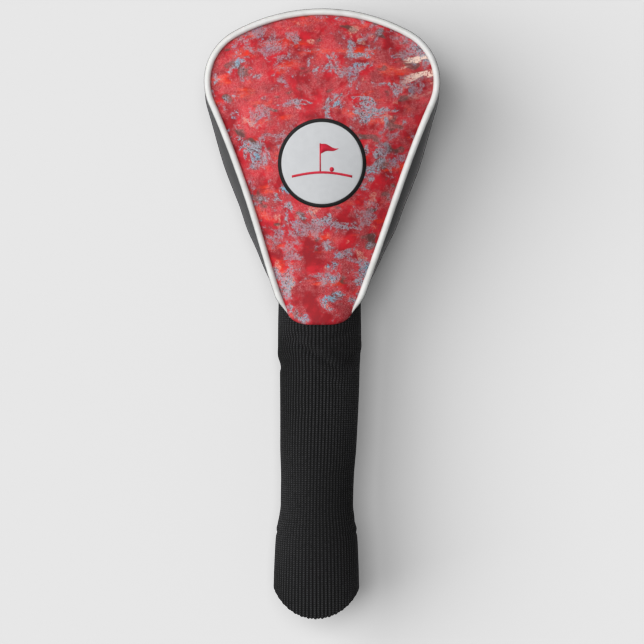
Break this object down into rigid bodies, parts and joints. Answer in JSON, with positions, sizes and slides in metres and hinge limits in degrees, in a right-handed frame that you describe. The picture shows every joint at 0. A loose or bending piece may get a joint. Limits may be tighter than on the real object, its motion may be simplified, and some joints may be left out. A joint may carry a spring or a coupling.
{
  "type": "golf driver head cover",
  "caption": "Padded teardrop cover for a golf driver head, with a printed front, white piping, woven side gussets and a bending rib-knit sock.",
  "frame": {"origin": "centre of the throat elastic, on the axis of the sock", "axes": "+Z toward the closed end, the sock's mouth is toward -Z, the printed panel faces -Y, +X is to the right as the printed panel is looked at"},
  "size_m": [0.134, 0.0878, 0.3463],
  "materials": {
    "printed_cloth": "smooth marbled red print",
    "black_cloth": "matt black",
    "woven_nylon": "matt black diagonal weave",
    "foam": "open foam",
    "plush": "short pile",
    "white_piping": "smooth white tape",
    "white_cord": "twisted cord",
    "black_thread": "sewing thread",
    "badge_grey": "flat pale grey transfer",
    "badge_black": "flat black transfer",
    "white_elastic": "woven elastic",
    "black_tape": "woven tape",
    "black_knit": "matt black rib knit"
  },
  "bodies": {
    "cover": {"front_panel": "printed_cloth", "back_panel": "black_cloth", "left_gusset": "woven_nylon", "right_gusset": "woven_nylon", "front_padding": "foam", "back_padding": "foam", "left_padding": "foam", "right_padding": "foam", "front_lining": "plush", "back_lining": "plush", "left_lining": "plush", "right_lining": "plush", "piping_sleeve": "white_piping", "piping_cord": "white_cord", "front_seam_thread": "black_thread", "back_seam_thread": "black_thread", "badge_disc": "badge_grey", "badge_ring": "badge_black", "throat_elastic": "white_elastic", "neck_binding": "black_tape", "elastic_thread": "black_thread"},
    "throat": {"knit_throat": "black_knit"},
    "sock": {"knit_sock": "black_knit", "knit_hem": "black_knit", "hem_elastic": "white_elastic", "hem_thread": "black_thread"}
  },
  "joints": [
    {"name": "sock_bend_forward", "type": "hinge", "parent": "cover", "child": "throat", "pos_m": [0, 0, -0.024], "axis": [1, 0, 0], "range_deg": [-45, 45], "deforming": ["knit_throat"]},
    {"name": "sock_bend_sideways", "type": "hinge", "parent": "throat", "child": "sock", "pos_m": [0, 0, -0.024], "axis": [0, 1, 0], "range_deg": [-50, 50], "deforming": ["knit_throat"]}
  ]
}
